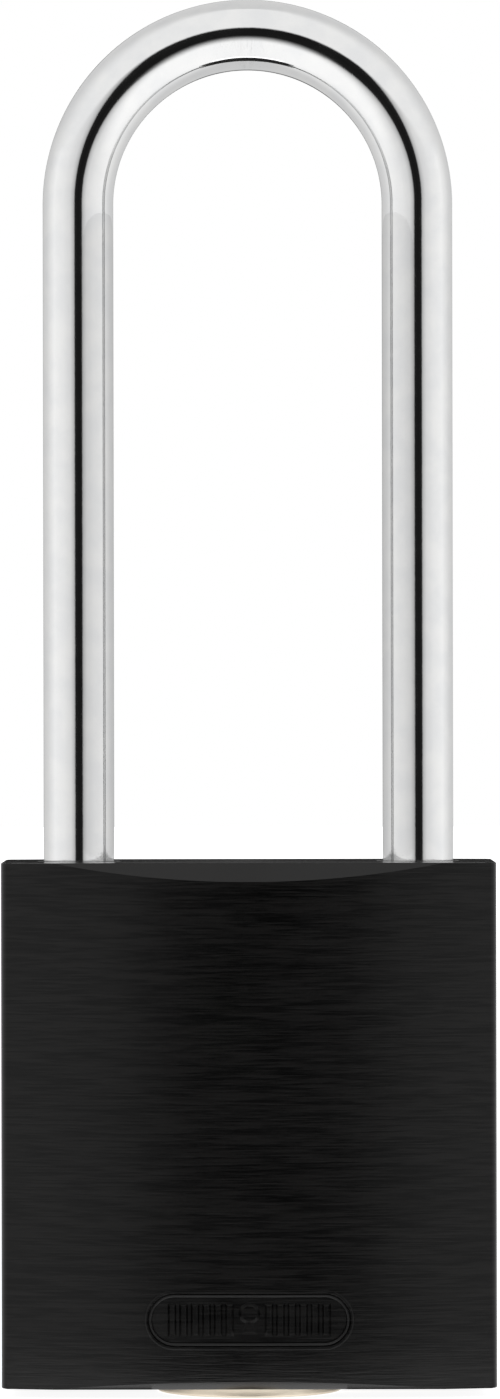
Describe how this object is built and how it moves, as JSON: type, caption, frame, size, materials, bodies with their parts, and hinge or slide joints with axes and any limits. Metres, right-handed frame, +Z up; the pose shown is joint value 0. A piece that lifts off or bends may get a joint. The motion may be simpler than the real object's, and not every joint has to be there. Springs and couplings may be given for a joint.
{
  "type": "long-shackle padlock",
  "caption": "Block-body padlock in black anodised metal with a tall chrome U shackle, ball locking and a brass pin-tumbler key cylinder in the underside.",
  "frame": {"origin": "centre of the key cylinder's round face, the lowest face, under the middle of the body", "axes": "+Z up along the shackle legs, -Y out of the front face, +X from the heel leg to the toe leg"},
  "size_m": [0.0452, 0.021, 0.1283],
  "materials": {
    "anodised_body": "black anodised, fine cross-brushed grain",
    "shackle_plate": "bright chrome plate over hardened steel",
    "ball_steel": "ground and polished bearing ball",
    "cam_steel": "turned and zinc plated",
    "housing_brass": "machined brass, lightly tumbled",
    "plug_brass": "turned brass face",
    "pin_brass": "turned brass",
    "spring_steel": "drawn spring wire",
    "screw_steel": "black oxide"
  },
  "bodies": {
    "lock_body": {"body": "anodised_body", "cylinder_housing": "housing_brass", "pin_chamber_cover": "housing_brass", "cylinder_screw": "screw_steel", "ejection_spring": "spring_steel", "pin_spring_1": "spring_steel", "pin_spring_2": "spring_steel", "pin_spring_3": "spring_steel", "pin_spring_4": "spring_steel", "pin_spring_5": "spring_steel"},
    "shackle": {"shackle": "shackle_plate"},
    "plug": {"plug": "plug_brass", "plug_clip": "spring_steel"},
    "locking_cam": {"locking_cam": "cam_steel"},
    "heel_ball": {"locking_ball_heel": "ball_steel"},
    "toe_ball": {"locking_ball_toe": "ball_steel"},
    "key_pin_1": {"key_pin_1": "pin_brass"},
    "key_pin_2": {"key_pin_2": "pin_brass"},
    "key_pin_3": {"key_pin_3": "pin_brass"},
    "key_pin_4": {"key_pin_4": "pin_brass"},
    "key_pin_5": {"key_pin_5": "pin_brass"},
    "driver_pin_1": {"driver_pin_1": "pin_brass"},
    "driver_pin_2": {"driver_pin_2": "pin_brass"},
    "driver_pin_3": {"driver_pin_3": "pin_brass"},
    "driver_pin_4": {"driver_pin_4": "pin_brass"},
    "driver_pin_5": {"driver_pin_5": "pin_brass"}
  },
  "joints": [
    {"name": "shackle_lift", "type": "slide", "parent": "lock_body", "child": "shackle", "axis": [0, 0, 1], "range_m": [0, 0.0125], "deforming": ["ejection_spring"]},
    {"name": "plug_turn", "type": "hinge", "parent": "lock_body", "child": "plug", "pos_m": [0, 0, 0.0002], "axis": [0, 0, 1], "range_deg": [0, 90]},
    {"name": "cam_turn", "type": "hinge", "parent": "lock_body", "child": "locking_cam", "pos_m": [0, 0, 0.042], "axis": [0, 0, 1], "range_deg": [0, 90]},
    {"name": "heel_ball_slide", "type": "slide", "parent": "lock_body", "child": "heel_ball", "axis": [1, 0, 0], "range_m": [0, 0.0009]},
    {"name": "toe_ball_slide", "type": "slide", "parent": "lock_body", "child": "toe_ball", "axis": [-1, 0, 0], "range_m": [0, 0.003]},
    {"name": "key_pin_1_slide", "type": "slide", "parent": "plug", "child": "key_pin_1", "axis": [1, 0, 0], "range_m": [-0.0011, 0]},
    {"name": "key_pin_2_slide", "type": "slide", "parent": "plug", "child": "key_pin_2", "axis": [1, 0, 0], "range_m": [-0.002, 0]},
    {"name": "key_pin_3_slide", "type": "slide", "parent": "plug", "child": "key_pin_3", "axis": [1, 0, 0], "range_m": [-0.0006, 0]},
    {"name": "key_pin_4_slide", "type": "slide", "parent": "plug", "child": "key_pin_4", "axis": [1, 0, 0], "range_m": [-0.0016, 0]},
    {"name": "key_pin_5_slide", "type": "slide", "parent": "plug", "child": "key_pin_5", "axis": [1, 0, 0], "range_m": [-0.0009, 0]},
    {"name": "driver_pin_1_slide", "type": "slide", "parent": "lock_body", "child": "driver_pin_1", "axis": [1, 0, 0], "range_m": [0, 0.003], "stiffness_N_per_m": 120, "deforming": ["pin_spring_1"]},
    {"name": "driver_pin_2_slide", "type": "slide", "parent": "lock_body", "child": "driver_pin_2", "axis": [1, 0, 0], "range_m": [0, 0.003], "stiffness_N_per_m": 120, "deforming": ["pin_spring_2"]},
    {"name": "driver_pin_3_slide", "type": "slide", "parent": "lock_body", "child": "driver_pin_3", "axis": [1, 0, 0], "range_m": [0, 0.003], "stiffness_N_per_m": 120, "deforming": ["pin_spring_3"]},
    {"name": "driver_pin_4_slide", "type": "slide", "parent": "lock_body", "child": "driver_pin_4", "axis": [1, 0, 0], "range_m": [0, 0.003], "stiffness_N_per_m": 120, "deforming": ["pin_spring_4"]},
    {"name": "driver_pin_5_slide", "type": "slide", "parent": "lock_body", "child": "driver_pin_5", "axis": [1, 0, 0], "range_m": [0, 0.003], "stiffness_N_per_m": 120, "deforming": ["pin_spring_5"]}
  ],
  "couplings": [
    {"joint": "plug_turn", "follows": "shackle_lift", "rad_per_m": 125.66},
    {"joint": "cam_turn", "follows": "shackle_lift", "rad_per_m": 125.66},
    {"joint": "heel_ball_slide", "follows": "shackle_lift", "ratio": 0.07199},
    {"joint": "toe_ball_slide", "follows": "shackle_lift", "ratio": 0.2399}
  ]
}
